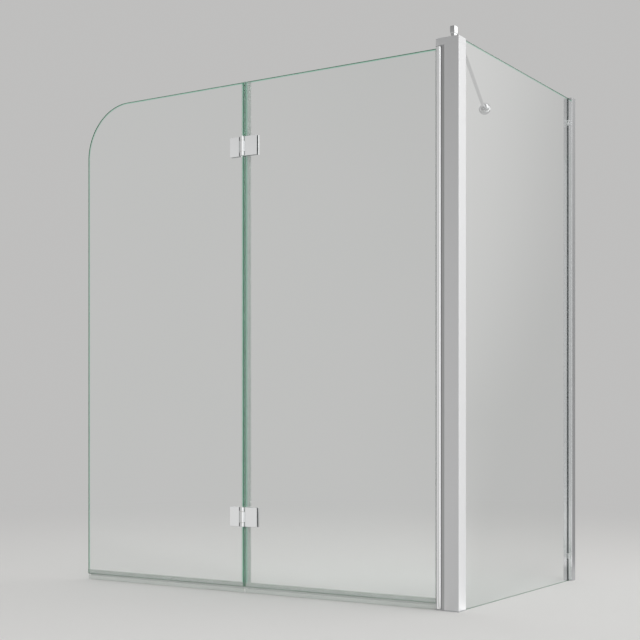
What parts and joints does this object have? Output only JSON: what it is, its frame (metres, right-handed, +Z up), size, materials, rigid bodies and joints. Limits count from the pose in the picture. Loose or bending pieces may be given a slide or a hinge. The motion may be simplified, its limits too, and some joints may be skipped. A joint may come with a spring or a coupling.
{
  "type": "corner bath screen",
  "caption": "Frameless folding glass bath screen on a square corner post, with a fixed glass side return, wall profile and stabiliser bar.",
  "frame": {"origin": "middle of the corner post's foot, on the bath rim", "axes": "+Z up along the post, +X along the long side of the bath from the folding panes towards the post, +Y inwards along the side pane to the wall"},
  "size_m": [1.2165, 0.7555, 1.4285],
  "materials": {
    "clear_glass": "clear tempered float glass with a green edge",
    "satin_post": "bright silver anodised",
    "cast_cap": "polished die-cast",
    "pivot_metal": "bright silver anodised",
    "bright_profile": "high-gloss chromed",
    "mill_aluminium": "plain extruded",
    "bright_chrome": "high-gloss chromed brass",
    "bar_chrome": "chromed steel, darker than the hinges",
    "stainless": "stainless steel",
    "clear_seal": "clear soft seal",
    "foot_plastic": "moulded, light grey",
    "bearing_plastic": "low-friction, off-white",
    "clear_wedge": "clear moulded",
    "soft_gasket": "soft, dark grey"
  },
  "bodies": {
    "fixed_frame": {"corner_post": "satin_post", "post_top_cap": "cast_cap", "cap_screws": "stainless", "post_foot": "foot_plastic", "foot_screws": "stainless", "upper_pivot_bush": "bearing_plastic", "lower_pivot_pin": "stainless", "lower_thrust_washer": "bearing_plastic", "side_glass": "clear_glass", "post_glass_gaskets": "soft_gasket", "wall_channel": "mill_aluminium", "wall_profile": "bright_profile", "wall_profile_cap": "bright_profile", "wall_glass_gaskets": "soft_gasket", "glass_wedges": "clear_wedge", "cross_screws": "stainless", "cross_screw_covers": "bright_chrome", "stabiliser_block": "bright_chrome", "block_fixing_screw": "stainless", "block_set_screw": "stainless", "front_ball_end": "bar_chrome", "stabiliser_bar": "bar_chrome", "wall_ball_end": "bar_chrome", "bracket_base": "bar_chrome", "bracket_cup": "bar_chrome"},
    "inner_panel": {"inner_glass": "clear_glass", "pivot_profile": "pivot_metal", "upper_pivot_plug": "pivot_metal", "lower_pivot_plug": "pivot_metal", "plug_screws": "stainless", "pivot_gaskets": "clear_seal", "inner_bottom_seal": "clear_seal", "fold_seal": "clear_seal", "upper_inner_hinge_leaf": "bright_chrome", "upper_inner_hinge_cover": "bright_chrome", "lower_inner_hinge_leaf": "bright_chrome", "lower_inner_hinge_cover": "bright_chrome", "inner_hinge_pads": "soft_gasket", "inner_hinge_sleeves": "bearing_plastic", "inner_hinge_screws": "stainless", "hinge_bushes": "bearing_plastic"},
    "outer_panel": {"outer_glass": "clear_glass", "outer_bottom_seal": "clear_seal", "upper_outer_hinge_leaf": "bright_chrome", "upper_outer_hinge_cover": "bright_chrome", "lower_outer_hinge_leaf": "bright_chrome", "lower_outer_hinge_cover": "bright_chrome", "outer_hinge_pads": "soft_gasket", "outer_hinge_sleeves": "bearing_plastic", "outer_hinge_screws": "stainless", "hinge_pins": "stainless"}
  },
  "joints": [
    {"name": "inner_panel_swing", "type": "hinge", "parent": "fixed_frame", "child": "inner_panel", "pos_m": [-0.0385, -0.009, 0], "axis": [0, 0, 1], "range_deg": [-90, 90]},
    {"name": "outer_panel_fold", "type": "hinge", "parent": "inner_panel", "child": "outer_panel", "pos_m": [-0.62795, -0.0195, 0], "axis": [0, 0, 1], "range_deg": [0, 180]}
  ]
}
